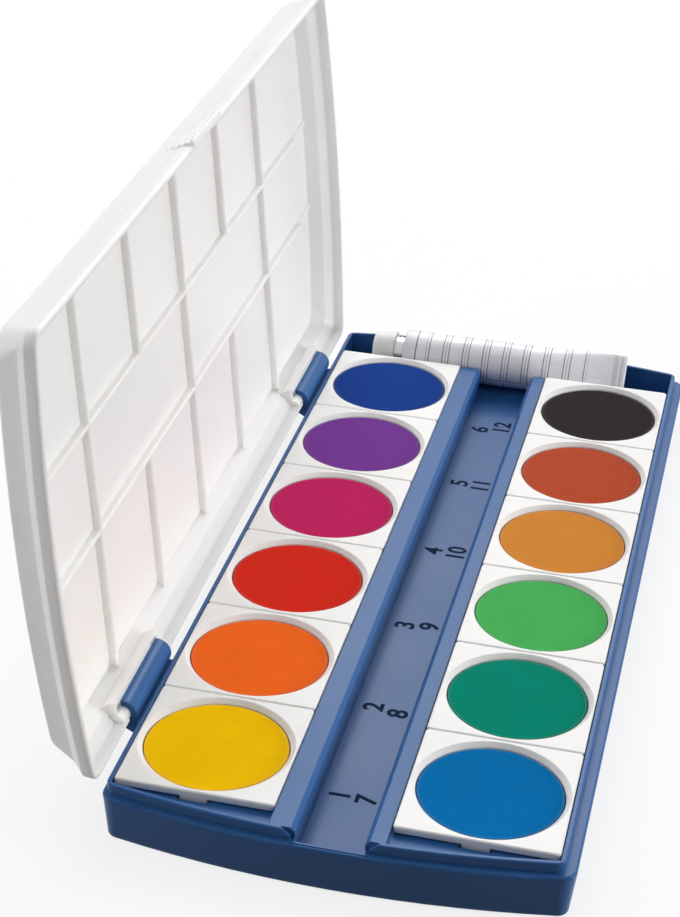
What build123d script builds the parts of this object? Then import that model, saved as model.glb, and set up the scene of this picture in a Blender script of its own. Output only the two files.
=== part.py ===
from build123d import *
import math
import os

# Gouache paint box: a moulded tray with two rows of six lift-out pans, a brush
# channel between the rows and a tube of white across the far end. Its deep lid
# is also the mixing palette. Millimetres, +Z up, X across the box with the hinge
# on the -X side, Y along it. The origin is on the underside, on the middle line
# of the brush channel. The lid is drawn in its open position.

# Paint tablets
tablet_diameter = 30.0
tablet_thickness = 5.4
tablet_edge = 0.35
tablet_gap = 0.25
tablet_recess = 0.9

# Pans
pans_per_row = 6
pan_plate = 1.5
pan_wall = 0.95
pan_floor = 1.0
pan_corner = 0.8
pan_edge = 0.25
pan_side_land = 0.3
pan_end_land = 0.8
pan_spacing = 0.2
pan_proud = 0.4
pan_seat_gap = 0.05
pan_side_gap = 0.25
pan_near_gap = 0.8
dish_width = 1.05
dish_depth = 0.85
lug_width = 5.6
lug_height = 1.3

# Tray
tray_height = 13.1
tray_floor = 1.4
tray_draft = 1.1
tray_corner = 3.5
tray_foot_radius = 1.0
rim_height = 2.5
rim_wall = 1.0
rim_round = 0.35
end_bow = 4.55
hinge_shoulder = 1.0
front_shoulder = 2.4
end_shoulder = 1.3
shoulder_round = 0.6
raised_floor = 5.6
shell_wall = 1.2
channel_width = 14.1
channel_bevel = 0.9
hinge_rail = 5.4
front_rail = 4.0
rail_end_radius = 0.8
lip_width = 0.4
lip_groove = 0.3
mouth_margin = 0.9
mouth_flare = 1.9
mouth_rise = 0.9
shelf_drop = 0.45
shelf_reach = 4.0
shelf_gap = 0.5
fin_length = 6.0
fin_width = 0.9
fin_height = 6.5
bay_slack = 2.9
web_thickness = 1.0
webs_per_pan = 2

# Tube of white
tube_diameter = 12.6
tube_wall = 0.5
tube_seat_gap = 0.1
tube_front_gap = 0.95
tube_straight = 34.7
tube_flattening = 22.3
tube_shoulder = 0.8
crimp_length = 4.3
crimp_width = 14.0
crimp_thickness = 1.8
crimp_angle = 50.0
neck_diameter = 7.4
neck_bore = 3.6
thread_pitch = 1.1
thread_height = 0.4
paste_gap = 0.3
paste_edge = 0.4
tube_middle = -3.05

# Tube cap
cap_length = 6.0
cap_diameter = 10.2
cap_taper = 0.35
cap_end = 1.2
cap_clearance = 0.15
cap_edge = 0.4
cap_standoff = 2.6

# Hinge
hinge_overhang = 3.8
pin_diameter = 3.6
pin_clearance = 0.08
pin_inset = 0.7
pin_rise = 2.35
pin_boss = 1.6
clip_wall = 1.3
clip_length = 24.8
clip_wrap = 98.0
clip_spread = 150.5
clip_offset = 1.2
clip_web = 3.4
clip_near_gap = 2.3
clip_far_gap = 0.6
clip_sweep_gap = 0.3
shroud_start = 4.0
shroud_end = 50.0

# Lid
lid_open_angle = 95.5
lid_depth = 9.8
lid_wall = 1.1
lid_panel = 1.4
lid_corner = 3.6
lid_back_corner = 6.5
lid_clearance = 0.3
lid_seat_gap = 0.15
lid_band = 2.7
lid_step = 2.05
lid_band_draft = 0.35
lid_step_inset = 2.3
lid_back_inset = 4.2
lid_front_band_inset = 0.25
lid_front_step_inset = 1.0
lid_front_back_inset = 2.2
lid_edge_radius = 1.0
lid_rim_round = 0.7
rib_height = 1.8
rib_low_height = 0.6
rib_width = 1.1
rib_bite = 0.3
hinge_well = 32.2
middle_well = 23.2
grip_length = 22.0
grip_reach = 1.2
grip_lines = 6
grip_line_depth = 0.3

# Pan and row layout across the box
pan_bore = tablet_diameter + 2 * tablet_gap
pan_width = pan_bore + 2 * dish_width + 2 * pan_side_land
pan_length = pan_bore + 2 * dish_width + 2 * pan_end_land
pan_pitch = pan_length + pan_spacing
channel_side = channel_width / 2
hinge_rail_x = -channel_side - hinge_rail
front_rail_x = channel_side + front_rail
hinge_row_x = hinge_rail_x - pan_side_gap - pan_width / 2
front_row_x = front_rail_x + pan_side_gap + pan_width / 2
inner_low_x = hinge_row_x - pan_width / 2 - pan_side_gap
inner_high_x = front_row_x + pan_width / 2 + pan_side_gap
rim_low_x = inner_low_x - rim_wall
rim_high_x = inner_high_x + rim_wall
shoulder_low_x = rim_low_x - hinge_shoulder
shoulder_high_x = rim_high_x + front_shoulder

# Layout along the box: near end, pans, tube bay, far end
rows_length = pans_per_row * pan_pitch
bay_length = tube_front_gap + tube_diameter + bay_slack
inner_end = (end_bow + pan_near_gap + rows_length + bay_length) / 2
end_radius = (inner_low_x**2 + end_bow**2) / (2 * end_bow)
row_start = -inner_end + end_bow + pan_near_gap
bay_start = row_start + rows_length
rim_end = inner_end + rim_wall
shoulder_end = rim_end + end_shoulder
channel_near = -shoulder_end + tray_draft + lip_width
tube_y = bay_start + tube_front_gap + tube_diameter / 2

# A small distance for choosing edges by where they are
edge_margin = 0.01

# Levels
shoulder_z = tray_height - rim_height
pan_top = tray_height + pan_proud
pan_bottom = tray_floor + pan_seat_gap
tablet_top = pan_top - tablet_recess
tablet_bottom = tablet_top - tablet_thickness
plate_bottom = pan_top - pan_plate
shelf_z = plate_bottom - shelf_drop
tube_z = raised_floor + tube_seat_gap + tube_diameter / 2

# Hinge axis and the lid's closed outline
lid_edge_z = shoulder_z + lid_seat_gap
lid_low_x = shoulder_low_x - hinge_overhang
lid_high_x = rim_high_x + lid_clearance + lid_wall
lid_end = rim_end + lid_clearance + lid_wall
lid_floor_z = lid_edge_z + lid_depth - lid_panel
rim_corner = lid_corner - lid_wall - lid_clearance
hinge_x = lid_low_x + pin_inset
hinge_z = lid_edge_z + pin_rise
clip_bore_radius = pin_diameter / 2 + pin_clearance
clip_radius = clip_bore_radius + clip_wall
clip_centres = [clip_offset - clip_spread / 2, clip_offset + clip_spread / 2]

# The lid is drawn at its closed coordinates and turned open about the pins
lid_turn = (
    Pos(hinge_x, 0, hinge_z)
    * Rot(0, -lid_open_angle, 0)
    * Pos(-hinge_x, 0, -hinge_z)
)


def on_lid(plane):
    """A plane of the closed lid, carried to where the open lid has it."""
    return Plane(lid_turn * plane.location)


def facing_y(y):
    """A plane facing -Y at y, with sketch X along +X and sketch Y up."""
    return Plane(origin=(0, y, 0), x_dir=(1, 0, 0), z_dir=(0, -1, 0))


def facing_x(x, y=0, z=0):
    """A plane facing +X at x, with sketch X along +Y and sketch Y up."""
    return Plane(origin=(x, y, z), x_dir=(0, 1, 0), z_dir=(1, 0, 0))


def end_curve(x, middle):
    """Where the bowed end that reaches y = middle on the middle line is, at x."""
    radius = end_radius + middle - inner_end
    return middle - radius + math.sqrt(radius**2 - x**2)


def bowed_outline(plane, low_x, high_x, end, corner):
    """An outline with straight sides and two bowed ends."""
    low_y = end_curve(low_x, end)
    high_y = end_curve(high_x, end)
    with BuildSketch(plane) as outline:
        with BuildLine():
            Line((low_x, -low_y), (low_x, low_y))
            ThreePointArc((low_x, low_y), (0, end), (high_x, high_y))
            Line((high_x, high_y), (high_x, -high_y))
            ThreePointArc((high_x, -high_y), (0, -end), (low_x, -low_y))
        make_face()
        fillet(outline.vertices(), corner)
    return outline.sketch


def rectangle(plane, low_x, high_x, low_y, high_y):
    """A rectangle given by its four sides."""
    with BuildSketch(plane) as shape:
        with Locations(((low_x + high_x) / 2, (low_y + high_y) / 2)):
            Rectangle(high_x - low_x, high_y - low_y)
    return shape.sketch


def end_pocket(plane, low_x, high_x, flat_y, end, side):
    """A pocket from a straight edge at flat_y to the bowed end on that side."""
    middle_x = (low_x + high_x) / 2
    corners = [(x, side * end_curve(x, end)) for x in (low_x, middle_x, high_x)]
    with BuildSketch(plane) as shape:
        with BuildLine():
            ThreePointArc(*corners)
            Polyline(corners[2], (high_x, flat_y), (low_x, flat_y), corners[0])
        make_face()
    return shape.sketch


# ---- Tray ----
with BuildPart() as tray:
    # Drafted body up to the shoulder, and the upright rim on it
    body_outline = bowed_outline(
        Plane.XY.offset(shoulder_z), shoulder_low_x, shoulder_high_x, shoulder_end, tray_corner
    )
    body_taper = math.degrees(math.atan2(tray_draft, shoulder_z))
    extrude(body_outline, amount=shoulder_z, dir=(0, 0, -1), taper=body_taper)
    fillet(tray.faces().sort_by(Axis.Z)[0].edges(), tray_foot_radius)
    fillet(tray.faces().sort_by(Axis.Z)[-1].edges(), shoulder_round)
    rim_outline = bowed_outline(
        Plane.XY.offset(shoulder_z), rim_low_x, rim_high_x, rim_end, rim_corner
    )
    extrude(rim_outline, amount=rim_height)
    fillet(tray.faces().sort_by(Axis.Z)[-1].edges(), rim_round)
    # One long compartment for each row of pans
    for low_x, high_x in ((inner_low_x, hinge_rail_x), (front_rail_x, inner_high_x)):
        compartment = end_pocket(
            Plane.XY.offset(tray_floor), low_x, high_x, bay_start, inner_end, -1
        )
        extrude(compartment, amount=tray_height, mode=Mode.SUBTRACT)
    # Tube bay across the far end
    bay = end_pocket(
        Plane.XY.offset(raised_floor), inner_low_x, inner_high_x, bay_start, inner_end, 1
    )
    extrude(bay, amount=tray_height, mode=Mode.SUBTRACT)
    # Brush channel between the rails, and its open mouth over the near lip
    channel = rectangle(
        Plane.XY.offset(raised_floor), -channel_side, channel_side, channel_near, bay_start + 1
    )
    extrude(channel, amount=tray_height, mode=Mode.SUBTRACT)
    mouth = channel_side + mouth_margin
    mouth_top = mouth + mouth_flare
    with BuildSketch(facing_y(-inner_end)) as mouth_shape:
        with BuildLine():
            Polyline(
                (-mouth, shoulder_z),
                (-mouth, shoulder_z + mouth_rise),
                (-mouth_top, tray_height),
                (-mouth_top, tray_height + 1),
                (mouth_top, tray_height + 1),
                (mouth_top, tray_height),
                (mouth, shoulder_z + mouth_rise),
                (mouth, shoulder_z),
                close=True,
            )
        make_face()
    extrude(amount=shoulder_end, mode=Mode.SUBTRACT)
    groove_y = (channel_near - shoulder_end) / 2
    groove = rectangle(
        Plane.XY.offset(shoulder_z - lip_groove),
        -mouth,
        mouth,
        groove_y - lip_groove / 2,
        groove_y + lip_groove / 2,
    )
    extrude(groove, amount=lip_groove, mode=Mode.SUBTRACT)
    # Rails rounded off where they end at the bay
    rail_ends = tray.edges().filter_by(Axis.Z).filter_by_position(
        Axis.Y, bay_start - edge_margin, bay_start + edge_margin
    )
    rail_ends = rail_ends.filter_by_position(
        Axis.X, hinge_rail_x - edge_margin, front_rail_x + edge_margin
    )
    fillet(rail_ends.filter_by_position(Axis.Z, raised_floor, tray_height), rail_end_radius)
    # Bevels along the top edges of the channel
    with BuildSketch(facing_y(channel_near - 1)) as bevel:
        with BuildLine():
            Polyline(
                (-channel_side, tray_height - channel_bevel),
                (-channel_side - channel_bevel, tray_height),
                (-channel_side - channel_bevel, tray_height + 1),
                (channel_side + channel_bevel, tray_height + 1),
                (channel_side + channel_bevel, tray_height),
                (channel_side, tray_height - channel_bevel),
                close=True,
            )
        make_face()
    extrude(amount=-(bay_start - channel_near + 2), mode=Mode.SUBTRACT)
    # Fins that space the pans along each row
    for i in range(pans_per_row):
        fin_y = row_start + i * pan_pitch
        for low_x, high_x in (
            (inner_low_x, inner_low_x + fin_length),
            (hinge_rail_x - fin_length, hinge_rail_x),
            (front_rail_x, front_rail_x + fin_length),
            (inner_high_x - fin_length, inner_high_x),
        ):
            fin = rectangle(
                Plane.XY.offset(tray_floor), low_x, high_x, fin_y - fin_width / 2, fin_y + fin_width / 2
            )
            extrude(fin, amount=fin_height)
    # Shelf that closes the near end of each row, cut round the first pan's cup and its lug
    for middle_x, low_x, high_x in (
        (hinge_row_x, inner_low_x, hinge_rail_x),
        (front_row_x, front_rail_x, inner_high_x),
    ):
        cup_y = row_start + pan_pitch / 2
        pocket_end = row_start + shelf_reach
        with BuildSketch(Plane.XY.offset(tray_floor)):
            add(end_pocket(Plane.XY, low_x, high_x, pocket_end, inner_end + rim_wall / 2, -1))
            with Locations((middle_x, cup_y)):
                Circle(pan_bore / 2 + pan_wall + shelf_gap, mode=Mode.SUBTRACT)
        extrude(amount=shelf_z - tray_floor)
        lug_room = rectangle(
            Plane.XY.offset(plate_bottom - lug_height - shelf_gap),
            middle_x - lug_width / 2 - shelf_gap,
            middle_x + lug_width / 2 + shelf_gap,
            row_start - shelf_gap,
            row_start + shelf_reach,
        )
        extrude(lug_room, amount=lug_height + shelf_gap, mode=Mode.SUBTRACT)
    # Hollow under the channel, the rails and the tube bay
    raised_under = raised_floor - shell_wall
    under_channel = rectangle(
        Plane.XY,
        hinge_rail_x + shell_wall,
        front_rail_x - shell_wall,
        channel_near + shell_wall,
        bay_start + shell_wall,
    )
    extrude(under_channel, amount=raised_under, mode=Mode.SUBTRACT)
    under_bay = end_pocket(
        Plane.XY,
        inner_low_x + tray_draft + shell_wall,
        inner_high_x - tray_draft - shell_wall,
        bay_start + shell_wall,
        inner_end - tray_draft - shell_wall,
        1,
    )
    extrude(under_bay, amount=raised_under, mode=Mode.SUBTRACT)
    for low_x, high_x in (
        (hinge_rail_x + shell_wall, -channel_side - shell_wall),
        (channel_side + shell_wall, front_rail_x - shell_wall),
    ):
        core = rectangle(
            Plane.XY,
            low_x,
            high_x,
            channel_near + shell_wall,
            bay_start - rail_end_radius - shell_wall,
        )
        extrude(core, amount=tray_height - channel_bevel - shell_wall, mode=Mode.SUBTRACT)
    # Webs that stiffen the underside, one of them through the origin
    web_pitch = pan_pitch / webs_per_pan
    web_low_x = hinge_rail_x + shell_wall / 2
    web_high_x = front_rail_x - shell_wall / 2
    for i in range(math.ceil(channel_near / web_pitch), math.floor(bay_start / web_pitch) + 1):
        low_y = i * web_pitch - web_thickness / 2
        web = rectangle(Plane.XY, web_low_x, web_high_x, low_y, low_y + web_thickness)
        extrude(web, amount=raised_under)
    bay_webs = math.floor((inner_high_x - tray_draft - shell_wall) / web_pitch)
    for i in range(-bay_webs, bay_webs + 1):
        low_x = i * web_pitch - web_thickness / 2
        high_y = end_curve(i * web_pitch, inner_end - tray_draft) - shell_wall / 2
        low_y = bay_start + shell_wall / 2
        web = rectangle(Plane.XY, low_x, low_x + web_thickness, low_y, high_y)
        extrude(web, amount=raised_under)
    # Hinge clips: each wraps its pin from the top round to the underside
    for clip_y in clip_centres:
        with BuildSketch(facing_y(clip_y + clip_length / 2)) as clip:
            with Locations((hinge_x, hinge_z)):
                Circle(clip_radius)
            with BuildLine():
                Polyline(
                    (hinge_x, hinge_z - clip_radius),
                    (hinge_x, hinge_z - clip_web / 2),
                    (rim_low_x + rim_wall / 2, hinge_z - clip_web / 2),
                    (rim_low_x + rim_wall / 2, hinge_z - clip_radius - clip_web / 2),
                    (shoulder_low_x, hinge_z - clip_radius - clip_web / 2),
                    close=True,
                )
            make_face()
            with Locations((hinge_x, hinge_z)):
                Circle(clip_bore_radius, mode=Mode.SUBTRACT)
            # Mouth of the clip, facing away from the tray
            with BuildLine():
                reach = clip_radius + 1
                mouth_x = hinge_x + reach * math.cos(math.radians(clip_wrap))
                mouth_rise = reach * math.sin(math.radians(clip_wrap))
                Polyline(
                    (hinge_x, hinge_z),
                    (mouth_x, hinge_z + mouth_rise),
                    (hinge_x - reach, hinge_z + reach),
                    (hinge_x - reach, hinge_z - reach),
                    (mouth_x, hinge_z - mouth_rise),
                    close=True,
                )
            make_face(mode=Mode.SUBTRACT)
        extrude(amount=clip_length)
tray.part.label = "tray"

# ---- Pans and paint tablets ----
rows = [hinge_row_x, front_row_x]
pan_places = [(x, row_start + (i + 0.5) * pan_pitch) for x in rows for i in range(pans_per_row)]
pans = []
paints = []
for number, (x, y) in enumerate(pan_places, start=1):
    with BuildPart() as pan:
        # Square plate with a dished hole
        with BuildSketch(Plane(origin=(x, y, plate_bottom))):
            RectangleRounded(pan_width, pan_length, pan_corner)
        extrude(amount=pan_plate)
        chamfer(pan.faces().sort_by(Axis.Z)[-1].edges(), pan_edge)
        # Cup wall down to the tray's floor
        with BuildSketch(Plane(origin=(x, y, pan_bottom))):
            Circle(pan_bore / 2 + pan_wall)
        extrude(amount=plate_bottom - pan_bottom)
        # Lug under the near edge, to lift the pan by
        lug = rectangle(
            Plane.XY.offset(plate_bottom),
            x - lug_width / 2,
            x + lug_width / 2,
            y - pan_length / 2,
            y - pan_bore / 2 - pan_wall / 2,
        )
        extrude(lug, amount=-lug_height)
        with BuildSketch(Plane(origin=(x, y, tablet_bottom))):
            Circle(pan_bore / 2)
        extrude(amount=tray_height, mode=Mode.SUBTRACT)
        with BuildSketch(Plane(origin=(x, y, pan_bottom))):
            Circle(pan_bore / 2)
        extrude(amount=tablet_bottom - pan_floor - pan_bottom, mode=Mode.SUBTRACT)
        with BuildSketch(Plane(origin=(x, y, pan_top))):
            Circle(pan_bore / 2 + dish_width)
        with BuildSketch(Plane(origin=(x, y, pan_top - dish_depth))):
            Circle(pan_bore / 2)
        loft(mode=Mode.SUBTRACT)
    pan.part.label = f"pan_{number:02d}"
    pans.append(pan.part)
    with BuildPart() as paint:
        with BuildSketch(Plane(origin=(x, y, tablet_bottom))):
            Circle(tablet_diameter / 2)
        extrude(amount=tablet_thickness)
        fillet(paint.faces().sort_by(Axis.Z)[-1].edges(), tablet_edge)
    paint.part.label = f"paint_{number:02d}"
    paints.append(paint.part)

# ---- Tube of white ----
tube_length = tube_shoulder + tube_straight + tube_flattening + crimp_length
cap_x = tube_middle - (cap_length + cap_standoff + tube_length) / 2
neck_x = cap_x + cap_end + cap_clearance
shoulder_x = cap_x + cap_length + cap_standoff
body_x = shoulder_x + tube_shoulder
flattening_x = body_x + tube_straight
crimp_x = flattening_x + tube_flattening
tube_radius = tube_diameter / 2
neck_radius = neck_diameter / 2
crimp_mouth = 2 * (tube_wall + paste_gap) + paste_edge
tube_axis = Axis((0, tube_y, tube_z), (1, 0, 0))
tube_plane = Plane(origin=(0, tube_y, tube_z), x_dir=(1, 0, 0), z_dir=(0, -1, 0))


def tube_space(start_x, inset):
    """The round tube and its flattening, a given distance inside the outer face."""
    with BuildPart() as space:
        with BuildSketch(facing_x(start_x, tube_y, tube_z)):
            Circle(tube_radius - inset)
        extrude(amount=flattening_x - start_x)
        with BuildSketch(facing_x(flattening_x, tube_y, tube_z)):
            Circle(tube_radius - inset)
        with BuildSketch(facing_x(crimp_x - inset, tube_y, tube_z)):
            Ellipse(crimp_width / 2 - inset, crimp_mouth / 2 - inset, rotation=crimp_angle)
        loft()
    return space.part


with BuildPart() as tube_body:
    add(tube_space(body_x, 0))
    add(tube_space(body_x, tube_wall), mode=Mode.SUBTRACT)
    # Folded end, lying at a slant
    with BuildSketch(facing_x(crimp_x, tube_y, tube_z)):
        Rectangle(crimp_width, crimp_thickness, rotation=crimp_angle)
    extrude(amount=crimp_length)
    # Shoulder and threaded neck
    with BuildSketch(tube_plane):
        with BuildLine():
            Polyline(
                (neck_x, neck_bore / 2),
                (neck_x, neck_radius),
                (shoulder_x, neck_radius),
                (body_x, tube_radius),
                (body_x, neck_bore / 2),
                close=True,
            )
        make_face()
        for i in range(int((shoulder_x - neck_x) / thread_pitch)):
            thread_x = neck_x + i * thread_pitch
            with BuildLine():
                Polyline(
                    (thread_x, neck_radius),
                    (thread_x + thread_pitch / 2, neck_radius + thread_height),
                    (thread_x + thread_pitch, neck_radius),
                    close=True,
                )
            make_face()
    revolve(axis=tube_axis)
tube_body.part.label = "tube_body"

with BuildPart() as tube_paste:
    add(tube_space(body_x + paste_gap, tube_wall + paste_gap))
tube_paste.part.label = "tube_paste"

with BuildPart() as tube_cap:
    cap_bore = neck_radius + thread_height + cap_clearance
    with BuildSketch(tube_plane):
        with BuildLine():
            Polyline(
                (cap_x, 0),
                (cap_x, cap_diameter / 2 - cap_taper),
                (cap_x + cap_length, cap_diameter / 2),
                (cap_x + cap_length, cap_bore),
                (cap_x + cap_end, cap_bore),
                (cap_x + cap_end, 0),
                close=True,
            )
        make_face()
    revolve(axis=tube_axis)
    fillet(tube_cap.edges().group_by(Axis.X)[0], cap_edge)
tube_cap.part.label = "tube_cap"

# ---- Lid ----
back_z = lid_edge_z + lid_depth
band_z = lid_edge_z + lid_band
step_z = band_z + lid_step
floor_share = (lid_floor_z - step_z) / (back_z - step_z)
floor_inset = lid_step_inset + floor_share * (lid_back_inset - lid_step_inset) + lid_wall
front_floor_inset = (
    lid_front_step_inset + floor_share * (lid_front_back_inset - lid_front_step_inset) + lid_wall
)
inner_corner = lid_corner - lid_wall


def lid_section(z, inset, front_inset, corner):
    """The lid's outline at height z, inset at the hinge and the ends, and at the front."""
    return bowed_outline(
        on_lid(Plane.XY.offset(z)),
        lid_low_x + inset,
        lid_high_x - front_inset,
        lid_end - inset,
        corner,
    )


def rib_profile(plane, middle, height):
    """A rib's section, round-topped, standing on the lid's floor."""
    crown_z = lid_floor_z - height + rib_width / 2
    with BuildSketch(plane) as profile:
        with Locations((middle, crown_z)):
            Circle(rib_width / 2)
        with Locations((middle, (crown_z + lid_floor_z + lid_panel / 2) / 2)):
            Rectangle(rib_width, lid_floor_z + lid_panel / 2 - crown_z)
    return profile.sketch


with BuildPart() as lid:
    # Outer shape: rim band, step, and the drafted back
    outer_sections = [
        lid_section(lid_edge_z, 0, 0, lid_corner),
        lid_section(band_z, lid_band_draft, lid_front_band_inset, lid_corner),
        lid_section(step_z, lid_step_inset, lid_front_step_inset, lid_corner),
        lid_section(back_z, lid_back_inset, lid_front_back_inset, lid_back_corner),
    ]
    loft(outer_sections, ruled=True)
    lid_up = Axis((0, 0, 0), on_lid(Plane.XY).z_dir)
    lid_forward = Axis((0, 0, 0), on_lid(Plane.XY).x_dir)
    fillet(lid.faces().sort_by(lid_up)[-1].edges(), lid_edge_radius)
    front_rim_edge = lid.faces().sort_by(lid_up)[0].edges().sort_by(lid_forward)[-1]
    fillet(front_rim_edge, lid_rim_round)
    # Inside, one wall thickness in, down to the palette floor
    inner_sections = [
        lid_section(lid_edge_z, lid_wall, lid_wall, inner_corner),
        lid_section(band_z, lid_wall, lid_wall, inner_corner),
        lid_section(step_z, lid_step_inset + lid_wall, lid_front_step_inset + lid_wall, inner_corner),
        lid_section(lid_floor_z, floor_inset, front_floor_inset, lid_back_corner - lid_wall),
    ]
    loft(inner_sections, ruled=True, mode=Mode.SUBTRACT)
    # Ribs that part the mixing wells
    hinge_rib_x = lid_low_x + floor_inset + hinge_well + rib_width / 2
    middle_rib_x = hinge_rib_x + middle_well + rib_width
    rib_near_x = lid_low_x + lid_back_inset - rib_bite
    rib_far_x = lid_high_x - front_floor_inset + lid_wall / 2
    for x in (hinge_rib_x, middle_rib_x):
        rib_end = end_curve(x, lid_end - lid_back_inset + rib_bite)
        low_rib = rib_profile(on_lid(facing_y(rib_end)), x, rib_low_height)
        extrude(low_rib, amount=2 * rib_end)
        high_rib = rib_profile(on_lid(facing_y(bay_start)), x, rib_height)
        extrude(high_rib, amount=bay_start + rib_end)
    for low_x, high_x, boundaries in (
        (rib_near_x, hinge_rib_x, (1, 2, 3, 4, 5)),
        (hinge_rib_x, middle_rib_x, (1, 3, 5)),
        (middle_rib_x, rib_far_x, (1, 2, 3, 4, 5)),
    ):
        for boundary in boundaries:
            rib_y = row_start + boundary * pan_pitch
            cross_rib = rib_profile(on_lid(facing_x(low_x)), rib_y, rib_height)
            extrude(cross_rib, amount=high_x - low_x)
    # Round notches that clear the tray's clips, each crossed by a pin and shrouded inside
    for clip_y in clip_centres:
        notch_low = clip_y - clip_length / 2 - clip_near_gap
        notch_high = clip_y + clip_length / 2 + clip_far_gap
        notch_radius = clip_radius + clip_sweep_gap
        shroud_radius = notch_radius + lid_wall
        shroud_reach = 2 * shroud_radius
        shroud_corners = [
            (
                hinge_x + shroud_reach * math.cos(math.radians(angle)),
                hinge_z + shroud_reach * math.sin(math.radians(angle)),
            )
            for angle in (shroud_start, shroud_end)
        ]
        with BuildSketch(on_lid(facing_y(notch_high + lid_wall))):
            with Locations((hinge_x, hinge_z)):
                Circle(shroud_radius)
            with BuildLine():
                Polyline((hinge_x, hinge_z), *shroud_corners, close=True)
            make_face(mode=Mode.INTERSECT)
        extrude(amount=notch_high - notch_low + 2 * lid_wall)
        with BuildSketch(on_lid(facing_y(notch_high))):
            with Locations((hinge_x, hinge_z)):
                Circle(notch_radius)
        extrude(amount=notch_high - notch_low, mode=Mode.SUBTRACT)
        with BuildSketch(on_lid(facing_y(notch_high + pin_boss))):
            with Locations((hinge_x, hinge_z)):
                Circle(pin_diameter / 2)
        extrude(amount=notch_high - notch_low + 2 * pin_boss)
    # Finger grip on the front wall, a ribbed wedge
    grip_top = lid_edge_z + lid_depth - lid_edge_radius
    grip_low_x = lid_high_x + grip_reach
    grip_slope = grip_reach + lid_front_back_inset
    with BuildSketch(on_lid(facing_y(grip_length / 2))):
        with BuildLine():
            corners = [(lid_high_x - lid_wall / 2, lid_edge_z)]
            for i in range(grip_lines):
                share = i / grip_lines
                line_z = lid_edge_z + share * (grip_top - lid_edge_z)
                line_x = grip_low_x - share * grip_slope
                corners += [(line_x - grip_line_depth, line_z), (line_x, line_z + grip_line_depth)]
            corners += [(grip_low_x - grip_slope, grip_top), (lid_high_x - front_floor_inset, grip_top)]
            Polyline(*corners, close=True)
        make_face()
    extrude(amount=grip_length)
lid.part.label = "lid"

# ---- Export ----
pieces = [tray, tube_body, tube_paste, tube_cap, lid]
os.makedirs("parts", exist_ok=True)
for piece in [*[sub_part.part for sub_part in pieces], *pans, *paints]:
    export_step(piece, f"parts/{piece.label}.step")
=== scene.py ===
import bmesh
import bpy
import math
from mathutils import Euler, Matrix, Vector, noise


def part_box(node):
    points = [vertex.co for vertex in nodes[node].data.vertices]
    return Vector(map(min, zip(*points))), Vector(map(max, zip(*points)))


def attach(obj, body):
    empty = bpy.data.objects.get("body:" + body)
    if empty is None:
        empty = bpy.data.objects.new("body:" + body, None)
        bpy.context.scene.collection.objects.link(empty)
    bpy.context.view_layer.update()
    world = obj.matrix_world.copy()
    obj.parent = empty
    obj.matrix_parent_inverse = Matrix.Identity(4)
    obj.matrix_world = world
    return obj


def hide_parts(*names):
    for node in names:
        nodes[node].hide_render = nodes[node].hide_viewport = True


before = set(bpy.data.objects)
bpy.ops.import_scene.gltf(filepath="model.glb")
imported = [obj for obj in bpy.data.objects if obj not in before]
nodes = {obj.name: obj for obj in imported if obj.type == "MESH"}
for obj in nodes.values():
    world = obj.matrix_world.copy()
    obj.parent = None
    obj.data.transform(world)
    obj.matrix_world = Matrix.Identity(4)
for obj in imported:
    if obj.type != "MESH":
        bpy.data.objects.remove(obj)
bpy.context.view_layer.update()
scene = bpy.context.scene
mm = 0.001
quarterTurn = math.radians(90)
print("frame loaded")


def linearColour(hexText):
    # sRGB hex to the linear values that shaders want
    channels = [int(hexText[i:i + 2], 16) / 255 for i in (1, 3, 5)]
    linear = [c / 12.92 if c <= 0.04045 else ((c + 0.055) / 1.055) ** 2.4 for c in channels]
    return (*linear, 1.0)


def toned(colour, share):
    # a colour made a little darker or paler, kept within white
    return tuple(min(1, c * share) for c in colour)


def addNode(tree, kind, links=None, **settings):
    # one shader node: settings go to attributes, or to sockets by name or as i0, i1;
    # links give a socket another node's output, or a plain number
    node = tree.nodes.new(kind)
    for key, value in settings.items():
        if hasattr(node, key):
            setattr(node, key, value)
        elif key[0] == "i" and key[1:].isdigit():
            node.inputs[int(key[1:])].default_value = value
        else:
            node.inputs[key.replace("_", " ")].default_value = value
    for key, source in (links or {}).items():
        if isinstance(source, bpy.types.NodeSocket):
            tree.links.new(source, node.inputs[key])
        else:
            node.inputs[key].default_value = source
    return node


def newMaterial(name, **settings):
    # a material with its principled shader's own sockets set
    material = bpy.data.materials.new(name)
    material.use_nodes = True
    tree = material.node_tree
    shader = tree.nodes["Principled BSDF"]
    for key, value in settings.items():
        shader.inputs[key.replace("_", " ")].default_value = value
    return material, tree, shader


def driftingFinish(tree, shader, drift, dark, pale, roughness):
    # colour and roughness that wander together between two values
    tone = addNode(tree, "ShaderNodeMix", {0: drift}, data_type="RGBA", i6=dark, i7=pale)
    tree.links.new(tone.outputs[2], shader.inputs["Base Color"])
    rough = addNode(
        tree, "ShaderNodeMapRange", {"Value": drift}, To_Min=roughness[0], To_Max=roughness[1]
    )
    tree.links.new(rough.outputs["Result"], shader.inputs["Roughness"])


def directlySeen(tree):
    # 1 for the camera's rays, and for those that gloss and clear things send on; else 0
    path = addNode(tree, "ShaderNodeLightPath")
    seen = path.outputs["Is Camera Ray"]
    for ray in ("Is Glossy Ray", "Is Transmission Ray"):
        links = {0: seen, 1: path.outputs[ray]}
        seen = addNode(tree, "ShaderNodeMath", links, operation="MAXIMUM").outputs[0]
    return seen


def pieceFrom(bm, name, smooth=False):
    # a finished bmesh as an object that sits at the origin
    mesh = bpy.data.meshes.new(name)
    bm.to_mesh(mesh)
    bm.free()
    for face in mesh.polygons:
        face.use_smooth = smooth
    piece = bpy.data.objects.new(name, mesh)
    scene.collection.objects.link(piece)
    return piece


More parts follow.
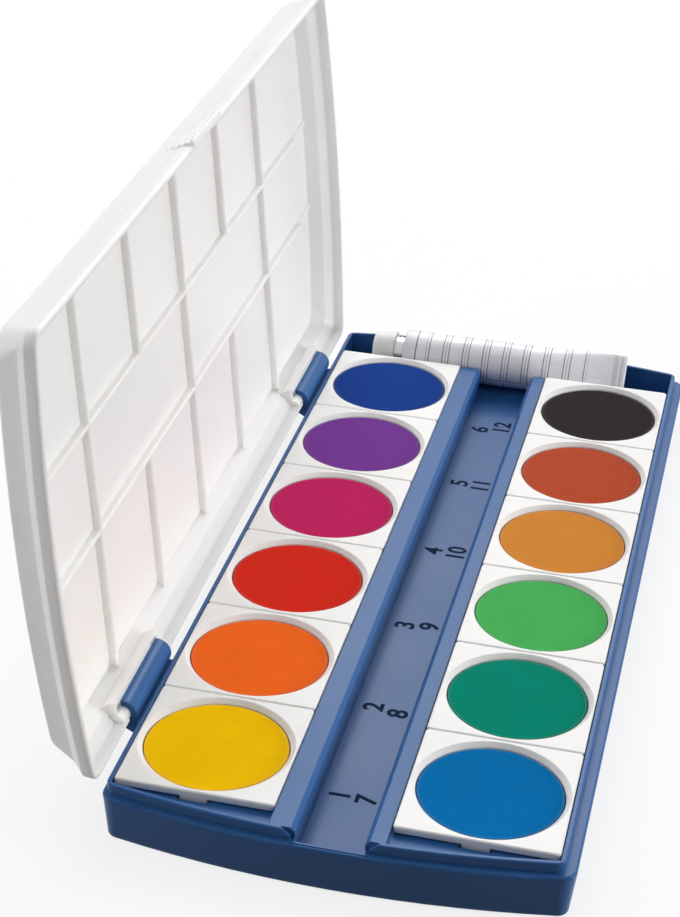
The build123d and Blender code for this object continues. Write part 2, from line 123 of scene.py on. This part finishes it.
def dressNode(node, material):
    # a finish for a solid that keeps its shape
    for slot in nodes[node].material_slots:
        slot.material = material


cameraView = {
    "place": (0.069855, -0.452215, 0.283856),
    "azimuth": 11.869,
    "elevation": 28.499,
    "roll": 2.417,
    "lens": 87.28,
    "sensorHeight": 36.0,
    "nearest": 0.01,
}


def makeCamera(view):
    camera = bpy.data.cameras.new("viewCamera")
    camera.sensor_fit = "VERTICAL"
    camera.sensor_height = view["sensorHeight"]
    camera.lens = view["lens"]
    camera.clip_start = view["nearest"]
    holder = bpy.data.objects.new("viewCamera", camera)
    scene.collection.objects.link(holder)
    tilt = math.radians(90 - view["elevation"])
    turn = Euler((tilt, 0, math.radians(view["azimuth"]))).to_matrix()
    roll = Matrix.Rotation(math.radians(view["roll"]), 3, "Z")
    holder.matrix_world = Matrix.Translation(view["place"]) @ (turn @ roll).to_4x4()
    scene.camera = holder


floorLook = {
    "size": 6.0,
    "colour": "#F4F4F3",
    "bounceColour": "#404040",  # what the floor sends back up on to the box
    "whitening": 0.8,  # share of plain white that the view of it gets
    "roughness": 0.9,
}


def makeFloor(look):
    bm = bmesh.new()
    bmesh.ops.create_grid(bm, x_segments=1, y_segments=1, size=look["size"] / 2)
    studioFloor = pieceFrom(bm, "studioFloor")
    # matt paper: it keeps a soft shadow and fades to white
    paper, tree, shader = newMaterial("paperBackdrop", Roughness=look["roughness"])
    seen = directlySeen(tree)
    tone = addNode(
        tree, "ShaderNodeMix", {0: seen}, data_type="RGBA",
        i6=linearColour(look["bounceColour"]), i7=linearColour(look["colour"]),
    )
    tree.links.new(tone.outputs[2], shader.inputs["Base Color"])
    white = addNode(tree, "ShaderNodeEmission", Color=(1, 1, 1, 1), Strength=1.0)
    share = addNode(
        tree, "ShaderNodeMath", {0: seen, 1: look["whitening"]}, operation="MULTIPLY"
    )
    mix = addNode(
        tree, "ShaderNodeMixShader",
        {0: share.outputs[0], 1: shader.outputs[0], 2: white.outputs[0]},
    )
    tree.links.new(mix.outputs[0], tree.nodes["Material Output"].inputs["Surface"])
    studioFloor.data.materials.append(paper)


lightLook = {
    "brightSide": (0.0, 0.5, 0.866),  # up and behind the box
    "darkStrength": 0.04,
    "brightStrength": 0.58,
    "darkFrom": -0.2,  # cosine to the bright side at which the room is darkest
    "backdropStrength": 1.0,
    "lamps": [
        # name, place, width, height, watts
        ("sideLamp", (1.3, 0.05, 0.3), 0.6, 0.4, 11.5),
        ("backLamp", (-0.15, 1.1, 1.05), 1.2, 0.7, 14.0),
        ("lidEndLamp", (-0.5, -0.22, 0.2), 0.3, 0.3, 1.1),
    ],
    "aim": (0.0, 0.0, 0.03),
}


def makeRoom(look):
    world = bpy.data.worlds.new("softRoom")
    world.use_nodes = True
    tree = world.node_tree
    tree.nodes.clear()
    toward = addNode(tree, "ShaderNodeTexCoord").outputs["Generated"]
    facing = addNode(
        tree, "ShaderNodeVectorMath", {0: toward}, operation="DOT_PRODUCT", i1=look["brightSide"]
    )
    strength = addNode(
        tree, "ShaderNodeMapRange", {"Value": facing.outputs["Value"]},
        From_Min=look["darkFrom"], To_Min=look["darkStrength"], To_Max=look["brightStrength"],
    )
    room = addNode(
        tree, "ShaderNodeBackground", {"Strength": strength.outputs["Result"]},
        Color=(1, 1, 1, 1),
    )
    backdrop = addNode(
        tree, "ShaderNodeBackground", Color=(1, 1, 1, 1), Strength=look["backdropStrength"]
    )
    mix = addNode(
        tree, "ShaderNodeMixShader",
        {0: directlySeen(tree), 1: room.outputs[0], 2: backdrop.outputs[0]},
    )
    addNode(tree, "ShaderNodeOutputWorld", {"Surface": mix.outputs[0]})
    scene.world = world
    for name, place, width, height, watts in look["lamps"]:
        lamp = bpy.data.lights.new(name, "AREA")
        lamp.shape = "RECTANGLE"
        lamp.size = width
        lamp.size_y = height
        lamp.energy = watts
        holder = bpy.data.objects.new(name, lamp)
        scene.collection.objects.link(holder)
        holder.location = place
        reach = Vector(look["aim"]) - Vector(place)
        holder.rotation_euler = reach.to_track_quat("-Z", "Y").to_euler()


makeCamera(cameraView)
makeFloor(floorLook)
makeRoom(lightLook)
scene.view_settings.view_transform = "Standard"
print("camera, floor and light set")

plasticLook = {
    # polypropylene, injection-moulded: satin blue, edges eased by the mould
    # each plastic's edge colour is a painted highlight, laid on its eased edges
    "tray": {
        "name": "mouldedBluePolypropylene", "colour": "#2A5B95", "edgeHighlightColour": "#4174A9",
        "roughness": 0.30, "grain": 0.35, "grainHeight": 0.004, "edge": 0.35,
        "specular": 0.2, "glow": 0.0,
    },
    # the same plastic in white: light passes a little way into its thin walls
    "lid": {
        "name": "mouldedWhitePolypropylene", "colour": "#F3F2F0", "edgeHighlightColour": "#F7F6F4",
        "roughness": 0.36, "grain": 0.45, "grainHeight": 0.003, "edge": 0.45,
        "specular": 0.4, "glow": 0.8,
    },
    # polystyrene, injection-moulded: harder than the lid, and a little glossier
    "pan": {
        "name": "mouldedWhitePolystyrene", "colour": "#ECEBE9", "edgeHighlightColour": "#F4F3F1",
        "roughness": 0.34, "grain": 0.3, "grainHeight": 0.002, "edge": 0.2,
        "specular": 0.36, "glow": 0.35,
    },
    # polyethylene screw cap: soft, slightly waxy
    "cap": {
        "name": "mouldedCapPolyethylene", "colour": "#EFF2F0", "edgeHighlightColour": "#F5F7F5",
        "roughness": 0.42, "grain": 0.3, "grainHeight": 0.003, "edge": 0.2,
        "specular": 0.4, "glow": 0.35,
    },
}

mouldingLook = {
    "ior": 1.49,
    "scatter": 2.5,  # mm that light goes into the white plastics
    "cloud": 28.0,  # mm across a patch of slightly other colour
    "cloudTones": (0.96, 1.04),
    "easingSamples": 4,
    # the next two set a painted highlight that makes eased edges paler, standing in for light
    # caught on their rounds
    "edgeHighlightRange": (0.98, 0.80),  # cosine of eased and flat normal, from no highlight to the full painted highlight
    "edgeHighlightShare": 0.6,
    "handledRange": (0.3, 0.7),  # of the cloud, from smoother to rougher
    "handledRoughness": (-0.03, 0.05),  # more or less than the plastic's own
}


def mouldedPlastic(look, moulding):
    # faint mould grain, slow clouding in the colour, and a painted highlight that makes eased
    # edges paler
    material, tree, shader = newMaterial(
        look["name"], IOR=moulding["ior"], Specular_IOR_Level=look["specular"],
        Subsurface_Weight=look["glow"], Subsurface_Radius=(1.0, 1.0, 1.0),
        Subsurface_Scale=moulding["scatter"] * mm,
    )
    place = addNode(tree, "ShaderNodeTexCoord").outputs["Object"]
    cloud = addNode(
        tree, "ShaderNodeTexNoise", {"Vector": place}, Scale=1 / (moulding["cloud"] * mm),
        Detail=3.0,
    )
    base = linearColour(look["colour"])
    darker, paler = (toned(base, share) for share in moulding["cloudTones"])
    clouded = addNode(
        tree, "ShaderNodeMix", {0: cloud.outputs["Fac"]}, data_type="RGBA", i6=darker, i7=paler
    )
    easing = addNode(
        tree, "ShaderNodeBevel", samples=moulding["easingSamples"], Radius=look["edge"] * mm
    )
    face = addNode(tree, "ShaderNodeNewGeometry")
    facing = addNode(
        tree, "ShaderNodeVectorMath", {0: easing.outputs[0], 1: face.outputs["Normal"]},
        operation="DOT_PRODUCT",
    )
    highlightStart, highlightFull = moulding["edgeHighlightRange"]
    # painted highlight: edges whose eased normal turns away from the face get the paler edge
    # colour
    wear = addNode(
        tree, "ShaderNodeMapRange", {"Value": facing.outputs["Value"]},
        From_Min=highlightStart, From_Max=highlightFull, To_Min=0.0, To_Max=moulding["edgeHighlightShare"],
    )
    tone = addNode(
        tree, "ShaderNodeMix", {0: wear.outputs["Result"], 6: clouded.outputs[2]},
        data_type="RGBA", i7=linearColour(look["edgeHighlightColour"]),
    )
    tree.links.new(tone.outputs[2], shader.inputs["Base Color"])
    least, most = moulding["handledRange"]
    smoother, rougher = (look["roughness"] + more for more in moulding["handledRoughness"])
    handled = addNode(
        tree, "ShaderNodeMapRange", {"Value": cloud.outputs["Fac"]},
        From_Min=least, From_Max=most, To_Min=smoother, To_Max=rougher,
    )
    tree.links.new(handled.outputs["Result"], shader.inputs["Roughness"])
    grain = addNode(
        tree, "ShaderNodeTexNoise", {"Vector": place}, Scale=1 / (look["grain"] * mm), Detail=2.0
    )
    bump = addNode(
        tree, "ShaderNodeBump", {"Height": grain.outputs["Fac"], "Normal": easing.outputs[0]},
        Distance=look["grainHeight"] * mm,
    )
    tree.links.new(bump.outputs["Normal"], shader.inputs["Normal"])
    return material


gouacheLook = {
    "hues": [
        "#FFC600", "#FA6A20", "#D92B1C", "#C22460", "#763C95", "#193E8C",
        "#006FB0", "#008871", "#4CB35C", "#D68A39", "#B74E32", "#302B2A",
    ],
    "specular": 0.03,
    "speckle": 0.35,  # mm, the pressed powder's grain
    "speckleHeight": 0.02,  # mm
    "speckleTone": 0.9,
    "mottle": 5.0,  # mm
    "mottleTones": (0.93, 1.07),
    "roughness": (0.72, 0.88),
    "rimHighlightBand": 0.7,  # mm, the band of painted highlight along the disc's bevelled rim
    "rimGap": 0.1,  # mm from the edge to where the band is palest
    "rimHighlightShare": 0.35,
    "rimHighlightTone": 0.8,
    "rimHighlightMix": 0.15,
}


def gouachePaint(number, hue, look):
    # pigment and gum pressed by a die: dead matt, faintly mottled, with a paler band at the rim
    # that is a painted highlight
    material, tree, shader = newMaterial(
        f"pressedGouache{number:02d}", Specular_IOR_Level=look["specular"]
    )
    low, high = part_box(f"paint_{number:02d}")
    centre = (Vector(low) + Vector(high)) / 2
    radius = (high[0] - low[0]) / 2
    place = addNode(tree, "ShaderNodeTexCoord").outputs["Object"]
    centred = addNode(tree, "ShaderNodeMapping", {"Vector": place}, Location=-centre)
    flat = addNode(
        tree, "ShaderNodeVectorMath", {0: centred.outputs[0]}, operation="MULTIPLY", i1=(1, 1, 0)
    )
    reach = addNode(tree, "ShaderNodeVectorMath", {0: flat.outputs[0]}, operation="LENGTH")
    # painted highlight: a band inside the disc's edge is made paler, standing in for light on
    # its bevelled rim
    rim = addNode(
        tree, "ShaderNodeMapRange", {"Value": reach.outputs["Value"]},
        From_Min=radius - look["rimHighlightBand"] * mm, From_Max=radius - look["rimGap"] * mm,
        To_Min=0.0, To_Max=look["rimHighlightShare"],
    )
    mottle = addNode(
        tree, "ShaderNodeTexNoise", {"Vector": centred.outputs[0]},
        Scale=1 / (look["mottle"] * mm), Detail=4.0,
    )
    speckle = addNode(
        tree, "ShaderNodeTexNoise", {"Vector": centred.outputs[0]},
        Scale=1 / (look["speckle"] * mm), Detail=2.0,
    )
    base = linearColour(hue)
    darker, paler = (toned(base, share) for share in look["mottleTones"])
    tone = addNode(
        tree, "ShaderNodeMix", {0: mottle.outputs["Fac"]}, data_type="RGBA", i6=darker, i7=paler
    )
    dusk = look["speckleTone"]
    grained = addNode(
        tree, "ShaderNodeMix", {0: speckle.outputs["Fac"], 6: tone.outputs[2]},
        data_type="RGBA", blend_type="MULTIPLY", i7=(dusk, dusk, dusk, 1),
    )
    # the painted highlight's colour: the hue mixed towards a pale tone
    rimHighlightAmount = look["rimHighlightMix"]
    pale = ((1 - rimHighlightAmount) * c + rimHighlightAmount * look["rimHighlightTone"] for c in base[:3])
    rimHighlighted = addNode(
        tree, "ShaderNodeMix", {0: rim.outputs["Result"], 6: grained.outputs[2]},
        data_type="RGBA", i7=(*pale, 1),
    )
    tree.links.new(rimHighlighted.outputs[2], shader.inputs["Base Color"])
    smoother, rougher = look["roughness"]
    rough = addNode(
        tree, "ShaderNodeMapRange", {"Value": mottle.outputs["Fac"]},
        To_Min=smoother, To_Max=rougher,
    )
    tree.links.new(rough.outputs["Result"], shader.inputs["Roughness"])
    bump = addNode(
        tree, "ShaderNodeBump", {"Height": speckle.outputs["Fac"]},
        Distance=look["speckleHeight"] * mm,
    )
    tree.links.new(bump.outputs["Normal"], shader.inputs["Normal"])
    return material


plastics = {part: mouldedPlastic(look, mouldingLook) for part, look in plasticLook.items()}
dressNode("tray", plastics["tray"])
dressNode("lid", plastics["lid"])
dressNode("tube_cap", plastics["cap"])
for number, hue in enumerate(gouacheLook["hues"], start=1):
    dressNode(f"pan_{number:02d}", plastics["pan"])
    dressNode(f"paint_{number:02d}", gouachePaint(number, hue, gouacheLook))
print("plastics and paints dressed")

numberPrint = {
    "columns": [
        # first number, place across the channel, and places along it, in mm
        (1, -2.8, (-91.5, -58.8, -24.8, 10.0, 45.5, 76.4)),
        (7, 2.8, (-91.7, -60.0, -23.9, 10.4, 45.5, 79.1)),
    ],
    "floor": 5.6,  # mm, the channel's floor above the table
    "height": 4.4,
    "fontRatio": 0.70,  # a figure's height as a share of the font's size
    "stroke": 0.16,  # mm that each side of a stroke is widened
    "ink": 0.03,  # mm, the film's thickness
    "weld": 0.001,
    "inkTones": ("#10203C", "#1A2C4C"),
    "specular": 0.02,
    "wear": 0.6,  # mm
    "roughness": (0.5, 0.7),
}


def padPrintedInk(look):
    # pad-printing ink: a thin, dull, even film
    ink, tree, shader = newMaterial("padPrintedInk", Specular_IOR_Level=look["specular"])
    place = addNode(tree, "ShaderNodeTexCoord").outputs["Object"]
    wear = addNode(
        tree, "ShaderNodeTexNoise", {"Vector": place}, Scale=1 / (look["wear"] * mm), Detail=3.0
    )
    dark, pale = (linearColour(tone) for tone in look["inkTones"])
    driftingFinish(tree, shader, wear.outputs["Fac"], dark, pale, look["roughness"])
    return ink


def makeNumbers(look):
    # plain figures, printed on the channel's floor to read along it
    bm = bmesh.new()
    for first, x, places in look["columns"]:
        for step, y in enumerate(places):
            figure = bpy.data.curves.new("figure", "FONT")
            figure.body = str(first + step)
            figure.size = look["height"] / look["fontRatio"] * mm
            figure.extrude = look["ink"] / 2 * mm
            figure.offset = look["stroke"] * mm
            figure.align_x = "CENTER"
            figure.align_y = "CENTER"
            holder = bpy.data.objects.new("figure", figure)
            scene.collection.objects.link(holder)
            bpy.context.view_layer.update()
            mesh = bpy.data.meshes.new_from_object(holder)
            spot = Vector((x, y, look["floor"] + look["ink"] / 2)) * mm
            mesh.transform(Matrix.Translation(spot) @ Matrix.Rotation(quarterTurn, 4, "Z"))
            bm.from_mesh(mesh)
            bpy.data.objects.remove(holder)
            bpy.data.curves.remove(figure)
            bpy.data.meshes.remove(mesh)
    bmesh.ops.remove_doubles(bm, verts=bm.verts, dist=look["weld"] * mm)
    numbers = pieceFrom(bm, "channelNumbers")
    numbers.data.materials.append(padPrintedInk(look))
    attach(numbers, "base")


makeNumbers(numberPrint)
print("numbers printed")

tubeShape = {
    # in mm, but for the tilt, the shares, and the counts of sides and rings
    "radius": 6.3,
    "neckRadius": 3.7,
    "threadPitch": 1.1,
    "threadHeight": 0.4,
    "neckLength": 7.25,
    "shoulderLength": 0.8,
    "shoulderProfile": ((0.08, 0.78), (0.35, 0.93), (0.7, 0.985), (1.0, 1.0)),  # along, out
    "straightLength": 34.7,
    "straightRings": 14,
    "flatteningLength": 22.3,
    "flatteningRings": 20,
    "evenThinning": 0.75,  # share of the thinning that is straight, the rest is eased
    "crimpLength": 4.3,
    "crimpHalfWidth": 7.0,
    "crimpHalfThickness": 0.9,
    "crimpTilt": 50.0,  # degrees
    "crimpCorner": 0.25,
    # the fold's presses: place along it, and thickness left
    "crimpProfile": (
        (0.06, 1.0), (0.12, 0.72), (0.32, 0.72), (0.38, 1.0), (0.58, 1.0),
        (0.62, 0.8), (0.66, 1.0), (0.94, 1.0), (1.0, 0.7),
    ),
    "sides": 72,
    "bareMargin": 0.05,  # past the neck, where the lacquer starts
    "dentDepth": 0.32,
    "dentLength": 9.0,
    "dentsAround": 1.6,
    "dentStart": 2.0,  # past the shoulder
    "dentFadeIn": 5.0,
    "dentFadeOut": 3.0,  # before the fold
}

tubePrint = {
    "lacquer": "#EFECF2",
    "mottle": 7.0,  # mm
    "mottleTone": 0.93,
    "roughness": (0.34, 0.46),
    "ior": 1.5,
    "coat": 0.25,
    "coatRoughness": 0.22,
    "crease": 2.4,  # mm
    "creaseHeight": 0.05,  # mm
    "creaseRoughness": 0.6,
    "boxes": 8,
    "boxPitch": 5.6,
    "boxWidth": 3.9,
    "boxStart": 6.0,  # mm from the shoulder to the first box
    "startMargin": 0.2,
    "boxLowAngle": -22.0,  # from level at the front, upwards
    "boxHighAngle": 152.0,
    "line": 0.26,
    "ringPlace": 3.1,
    "ringWidth": 0.34,
    "boxColour": "#6B6A74",
    "fineColour": "#BDBAC4",
}

aluminiumLook = {
    "tones": ("#B9BBBD", "#D6D8DA"),
    "roughness": (0.28, 0.42),
    "grain": 1.5,  # mm
    "grainHeight": 0.01,  # mm
    "drawn": (6, 1, 1),  # closer along the tube, so the grain runs round it
}

pasteLook = {
    "tones": ("#F0EFEB", "#F8F7F4"),
    "roughness": (0.5, 0.65),
    "specular": 0.3,
    "stir": 3.0,  # mm
}


def tubeStations(shape):
    # the rings along the tube: distance from the neck's end, half width, half height
    stations = []
    neck, radius = shape["neckRadius"], shape["radius"]
    half = shape["threadPitch"] / 2
    for i in range(1, int(shape["neckLength"] / shape["threadPitch"] * 2) + 1):
        out = neck + (shape["threadHeight"] if i % 2 else 0)
        stations.append((i * half, out, out))
    shoulder = shape["neckLength"]
    stations.append((shoulder, neck, neck))
    for share, out in shape["shoulderProfile"]:
        along = shoulder + share * shape["shoulderLength"]
        stations.append((along, radius * out, radius * out))
    body = shoulder + shape["shoulderLength"]
    for i in range(1, shape["straightRings"] + 1):
        along = body + i / shape["straightRings"] * shape["straightLength"]
        stations.append((along, radius, radius))
    flattening = body + shape["straightLength"]
    wide, thin = shape["crimpHalfWidth"], shape["crimpHalfThickness"]
    even = shape["evenThinning"]
    for i in range(1, shape["flatteningRings"] + 1):
        share = i / shape["flatteningRings"]
        eased = share * share * (3 - 2 * share)
        stations.append((
            flattening + share * shape["flatteningLength"],
            radius + eased * (wide - radius),
            radius + (even * share + (1 - even) * eased) * (thin - radius),
        ))
    crimp = flattening + shape["flatteningLength"]
    for share, press in shape["crimpProfile"]:
        corner = shape["crimpCorner"] if share == 1 else 0
        stations.append((crimp + share * shape["crimpLength"], wide - corner, thin * press))
    return stations, body, crimp


def dentTube(bm, shape, startX, centre, body, crimp):
    # handling leaves shallow dents in the soft metal, none at the shoulder or the fold
    for vert in bm.verts:
        along = (vert.co.x - startX) / mm
        fadeIn = (along - body - shape["dentStart"]) / shape["dentFadeIn"]
        fadeOut = (crimp - along) / shape["dentFadeOut"]
        hold = min(1, max(0, fadeIn)) * min(1, max(0, fadeOut))
        if hold:
            out = Vector((0, vert.co.y - centre.y, vert.co.z - centre.z)).normalized()
            around = shape["dentsAround"]
            place = Vector((along / shape["dentLength"], out.y * around, out.z * around))
            dent = min(0, noise.noise(place))
            vert.co += out * (dent * shape["dentDepth"] * hold * mm)


def makeTube(shape, look, bareLook):
    # a collapsible tube: threaded neck, round body, and a flattened, folded end
    low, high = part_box("tube_body")
    startX = low[0]
    centre = Vector((0, (low[1] + high[1]) / 2, (low[2] + high[2]) / 2))
    slant = Matrix.Rotation(math.radians(shape["crimpTilt"]), 4, "X")
    space = (Matrix.Translation(centre) @ slant).inverted()  # where the fold lies flat
    end = centre + Vector((startX, 0, 0))
    bm = bmesh.new()
    bmesh.ops.create_circle(
        bm, cap_ends=False, segments=shape["sides"], radius=shape["neckRadius"] * mm,
        matrix=Matrix.Translation(end) @ Matrix.Rotation(quarterTurn, 4, "Y"),
    )
    edges = bm.edges[:]
    stations, body, crimp = tubeStations(shape)
    place, wideNow, thinNow = 0.0, shape["neckRadius"], shape["neckRadius"]
    for distance, wide, thin in stations:
        grown = bmesh.ops.extrude_edge_only(bm, edges=edges)["geom"]
        verts = [part for part in grown if isinstance(part, bmesh.types.BMVert)]
        edges = [part for part in grown if isinstance(part, bmesh.types.BMEdge)]
        bmesh.ops.translate(bm, verts=verts, vec=((distance - place) * mm, 0, 0))
        bmesh.ops.scale(bm, verts=verts, vec=(1, wide / wideNow, thin / thinNow), space=space)
        place, wideNow, thinNow = distance, wide, thin
    bmesh.ops.holes_fill(bm, edges=[edge for edge in bm.edges if edge.is_boundary], sides=0)
    dentTube(bm, shape, startX, centre, body, crimp)
    bmesh.ops.recalc_face_normals(bm, faces=bm.faces)
    bareTo = startX + (shape["neckLength"] + shape["bareMargin"]) * mm
    for face in bm.faces:
        face.material_index = 1 if face.calc_center_median().x < bareTo else 0
    tube = pieceFrom(bm, "paintTube", smooth=True)
    tube.data.materials.append(lacqueredTube(shape, look, startX + body * mm, centre))
    tube.data.materials.append(bareAluminium(bareLook))
    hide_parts("tube_body")
    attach(tube, "tube")


def ruledLines(tree, axes, shape, look):
    # shares of dark and of fine line at a place on the tube, in mm along it and round it
    pitch = look["boxPitch"]
    lowArc = math.radians(look["boxLowAngle"]) * shape["radius"]
    highArc = math.radians(look["boxHighAngle"]) * shape["radius"]
    steps = [
        # result, operation, and what it works on
        ("along", "DIVIDE", "x", mm),
        ("front", "MULTIPLY", "y", -1.0),
        ("angle", "ARCTAN2", "z", "front"),
        ("arc", "MULTIPLY", "angle", shape["radius"]),
        # from the middle of a box to its sides and its ends
        ("fromStart", "SUBTRACT", "along", look["boxStart"]),
        ("inPitch", "FLOORED_MODULO", "fromStart", pitch),
        ("offMiddle", "SUBTRACT", "inPitch", pitch / 2),
        ("across", "ABSOLUTE", "offMiddle"),
        ("sideGap", "SUBTRACT", "across", look["boxWidth"] / 2),
        ("offArc", "SUBTRACT", "arc", (lowArc + highArc) / 2),
        ("around", "ABSOLUTE", "offArc"),
        ("endGap", "SUBTRACT", "around", (highArc - lowArc) / 2),
        ("outside", "MAXIMUM", "sideGap", "endGap"),
        ("rim", "ABSOLUTE", "outside"),
        # only where the boxes are
        ("started", "GREATER_THAN", "fromStart", -look["startMargin"]),
        ("unended", "LESS_THAN", "fromStart", look["boxes"] * pitch),
        ("inRow", "MULTIPLY", "started", "unended"),
        ("onRim", "LESS_THAN", "rim", look["line"] / 2),
        ("boxLine", "MULTIPLY", "onRim", "inRow"),
        # one fine line between two boxes
        ("between", "SUBTRACT", pitch / 2, "across"),
        ("onBetween", "LESS_THAN", "between", look["line"] / 2),
        ("fine", "MULTIPLY", "onBetween", "inRow"),
        # one ring round the tube
        ("offRing", "SUBTRACT", "along", look["ringPlace"]),
        ("ringGap", "ABSOLUTE", "offRing"),
        ("ringLine", "LESS_THAN", "ringGap", look["ringWidth"] / 2),
        ("dark", "MAXIMUM", "boxLine", "ringLine"),
    ]
    found = {"x": axes.outputs[0], "y": axes.outputs[1], "z": axes.outputs[2]}
    for result, operation, *values in steps:
        links = {i: found.get(value, value) for i, value in enumerate(values)}
        node = addNode(tree, "ShaderNodeMath", links, operation=operation)
        found[result] = node.outputs[0]
    return found["dark"], found["fine"]


def lacqueredTube(shape, look, bodyX, centre):
    # white lacquer over aluminium: satin, printed with empty ruled boxes, fine lines, one ring
    material, tree, shader = newMaterial(
        "lacqueredAluminium", IOR=look["ior"], Coat_Weight=look["coat"],
        Coat_Roughness=look["coatRoughness"],
    )
    place = addNode(tree, "ShaderNodeTexCoord").outputs["Object"]
    centred = addNode(
        tree, "ShaderNodeMapping", {"Vector": place}, Location=(-bodyX, -centre.y, -centre.z)
    )
    axes = addNode(tree, "ShaderNodeSeparateXYZ", {0: centred.outputs[0]})
    dark, fine = ruledLines(tree, axes, shape, look)
    mottle = addNode(
        tree, "ShaderNodeTexNoise", {"Vector": place}, Scale=1 / (look["mottle"] * mm),
        Detail=3.0,
    )
    base = linearColour(look["lacquer"])
    ground = addNode(
        tree, "ShaderNodeMix", {0: mottle.outputs["Fac"]}, data_type="RGBA",
        i6=toned(base, look["mottleTone"]), i7=base,
    )
    ruled = addNode(
        tree, "ShaderNodeMix", {0: fine, 6: ground.outputs[2]}, data_type="RGBA",
        i7=linearColour(look["fineColour"]),
    )
    printed = addNode(
        tree, "ShaderNodeMix", {0: dark, 6: ruled.outputs[2]}, data_type="RGBA",
        i7=linearColour(look["boxColour"]),
    )
    tree.links.new(printed.outputs[2], shader.inputs["Base Color"])
    smoother, rougher = look["roughness"]
    rough = addNode(
        tree, "ShaderNodeMapRange", {"Value": mottle.outputs["Fac"]},
        To_Min=smoother, To_Max=rougher,
    )
    tree.links.new(rough.outputs["Result"], shader.inputs["Roughness"])
    creases = addNode(
        tree, "ShaderNodeTexNoise", {"Vector": place}, Scale=1 / (look["crease"] * mm),
        Detail=3.0, Roughness=look["creaseRoughness"],
    )
    bump = addNode(
        tree, "ShaderNodeBump", {"Height": creases.outputs["Fac"]},
        Distance=look["creaseHeight"] * mm,
    )
    tree.links.new(bump.outputs["Normal"], shader.inputs["Normal"])
    return material


def bareAluminium(look):
    # impact-extruded aluminium, left bare at the thread: soft metal with a drawn grain
    material, tree, shader = newMaterial("extrudedAluminium", Metallic=1.0)
    place = addNode(tree, "ShaderNodeTexCoord").outputs["Object"]
    stretched = addNode(tree, "ShaderNodeMapping", {"Vector": place}, Scale=look["drawn"])
    drawn = addNode(
        tree, "ShaderNodeTexNoise", {"Vector": stretched.outputs[0]},
        Scale=1 / (look["grain"] * mm), Detail=3.0,
    )
    dark, pale = (linearColour(tone) for tone in look["tones"])
    driftingFinish(tree, shader, drawn.outputs["Fac"], dark, pale, look["roughness"])
    bump = addNode(
        tree, "ShaderNodeBump", {"Height": drawn.outputs["Fac"]},
        Distance=look["grainHeight"] * mm,
    )
    tree.links.new(bump.outputs["Normal"], shader.inputs["Normal"])
    return material


def whitePaste(look):
    # the gouache inside the tube, seen only if the tube is cut or squeezed: smooth, thick, matt
    material, tree, shader = newMaterial(
        "titaniumWhiteGouache", Specular_IOR_Level=look["specular"]
    )
    place = addNode(tree, "ShaderNodeTexCoord").outputs["Object"]
    stir = addNode(
        tree, "ShaderNodeTexNoise", {"Vector": place}, Scale=1 / (look["stir"] * mm), Detail=2.0
    )
    dark, pale = (linearColour(tone) for tone in look["tones"])
    driftingFinish(tree, shader, stir.outputs["Fac"], dark, pale, look["roughness"])
    return material


makeTube(tubeShape, tubePrint, aluminiumLook)
dressNode("tube_paste", whitePaste(pasteLook))
print("tube made")
